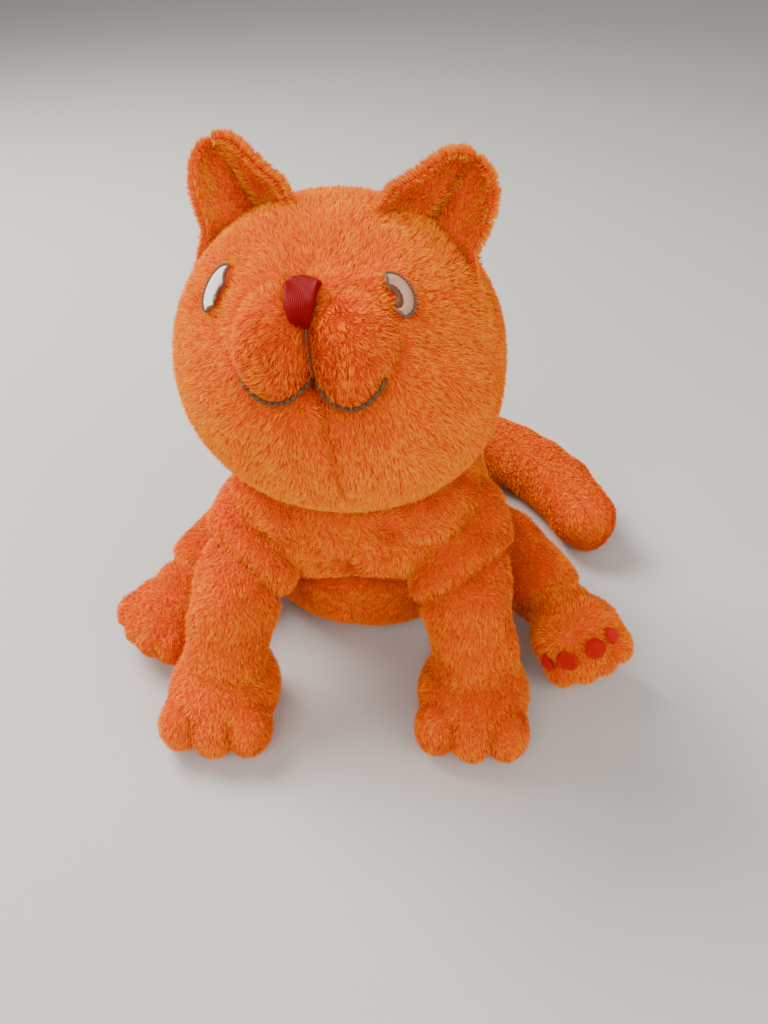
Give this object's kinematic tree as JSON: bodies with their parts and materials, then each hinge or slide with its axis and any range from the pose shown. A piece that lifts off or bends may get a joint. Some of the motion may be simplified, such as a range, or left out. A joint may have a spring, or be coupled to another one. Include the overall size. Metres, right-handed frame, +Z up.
{
  "type": "plush cat",
  "caption": "Sitting stuffed plush cat with a round head, cupped ears, embroidered face, soft sewn legs and a fat curled tail.",
  "frame": {"origin": "middle of the flat seat under the rump", "axes": "+Z up, the cat faces -Y and its own left side is +X"},
  "size_m": [0.2679, 0.2622, 0.2473],
  "materials": {
    "plush": "soft short pile",
    "plush_deep": "soft short pile, deeper orange inside the ears",
    "stuffing": "loose polyester fibre",
    "pellet_bag": "plain woven",
    "red_thread": "satin stitch embroidery",
    "white_thread": "satin stitch embroidery",
    "grey_thread": "stitched thread",
    "label": "plain satin ribbon"
  },
  "bodies": {
    "torso": {"torso_cover": "plush", "torso_stuffing": "stuffing", "pellet_bag": "pellet_bag", "care_label": "label"},
    "neck": {"neck_stuffing": "stuffing"},
    "head": {"head_cover": "plush", "head_stuffing": "stuffing", "nose_patch": "red_thread", "nose_seam_thread": "grey_thread", "mouth_thread_left": "grey_thread", "eye_outline_left": "grey_thread", "eye_white_left": "white_thread", "eye_pupil_left": "grey_thread", "mouth_thread_right": "grey_thread", "eye_outline_right": "grey_thread", "eye_white_right": "white_thread", "eye_pupil_right": "grey_thread"},
    "ear_left": {"ear_front_left": "plush_deep", "ear_back_left": "plush"},
    "ear_right": {"ear_front_right": "plush_deep", "ear_back_right": "plush"},
    "front_leg_left": {"front_leg_left_cover": "plush", "front_leg_left_stuffing": "stuffing", "front_paw_left_cover": "plush", "front_paw_left_stuffing": "stuffing"},
    "hind_leg_left": {"hind_leg_left_cover": "plush", "hind_leg_left_stuffing": "stuffing", "hind_foot_left_cover": "plush", "hind_foot_left_stuffing": "stuffing", "toe_pad_left_1": "red_thread", "toe_pad_left_2": "red_thread", "toe_pad_left_3": "red_thread", "toe_pad_left_4": "red_thread"},
    "front_leg_right": {"front_leg_right_cover": "plush", "front_leg_right_stuffing": "stuffing", "front_paw_right_cover": "plush", "front_paw_right_stuffing": "stuffing"},
    "hind_leg_right": {"hind_leg_right_cover": "plush", "hind_leg_right_stuffing": "stuffing", "hind_foot_right_cover": "plush", "hind_foot_right_stuffing": "stuffing", "toe_pad_right_1": "red_thread", "toe_pad_right_2": "red_thread", "toe_pad_right_3": "red_thread", "toe_pad_right_4": "red_thread"},
    "tail": {"tail_cover": "plush", "tail_stuffing": "stuffing"}
  },
  "joints": [
    {"name": "head_turn", "type": "hinge", "parent": "torso", "child": "neck", "pos_m": [-0.003, -0.052, 0.112], "axis": [0, 0, 1], "range_deg": [-20, 20], "stiffness_Nm_per_rad": 0.4},
    {"name": "head_nod", "type": "hinge", "parent": "neck", "child": "head", "pos_m": [-0.003, -0.052, 0.112], "axis": [1, 0, 0], "range_deg": [-15, 3], "stiffness_Nm_per_rad": 0.8},
    {"name": "ear_left_flop", "type": "hinge", "parent": "head", "child": "ear_left", "pos_m": [0.03852, -0.06552, 0.21718], "axis": [0.8317, -0.0453, -0.5534], "range_deg": [-15, 15], "stiffness_Nm_per_rad": 0.004},
    {"name": "ear_right_flop", "type": "hinge", "parent": "head", "child": "ear_right", "pos_m": [-0.04992, -0.05779, 0.21767], "axis": [0.8452, -0.0759, 0.529], "range_deg": [-15, 15], "stiffness_Nm_per_rad": 0.004},
    {"name": "shoulder_left", "type": "hinge", "parent": "torso", "child": "front_leg_left", "pos_m": [0.047, -0.066, 0.082], "axis": [-1, 0, 0], "range_deg": [0, 40], "stiffness_Nm_per_rad": 0.3},
    {"name": "shoulder_right", "type": "hinge", "parent": "torso", "child": "front_leg_right", "pos_m": [-0.042, -0.07, 0.081], "axis": [-1, 0, 0], "range_deg": [0, 40], "stiffness_Nm_per_rad": 0.3},
    {"name": "hip_left", "type": "hinge", "parent": "torso", "child": "hind_leg_left", "pos_m": [0.044, -0.012, 0.0335], "axis": [0, 0, 1], "range_deg": [0, 15], "stiffness_Nm_per_rad": 0.3},
    {"name": "hip_right", "type": "hinge", "parent": "torso", "child": "hind_leg_right", "pos_m": [-0.044, -0.012, 0.0335], "axis": [0, 0, -1], "range_deg": [0, 15], "stiffness_Nm_per_rad": 0.3},
    {"name": "tail_swing", "type": "hinge", "parent": "torso", "child": "tail", "pos_m": [0.006, 0.06, 0.03], "axis": [0, 0, 1], "range_deg": [-5, 25], "stiffness_Nm_per_rad": 0.2}
  ]
}
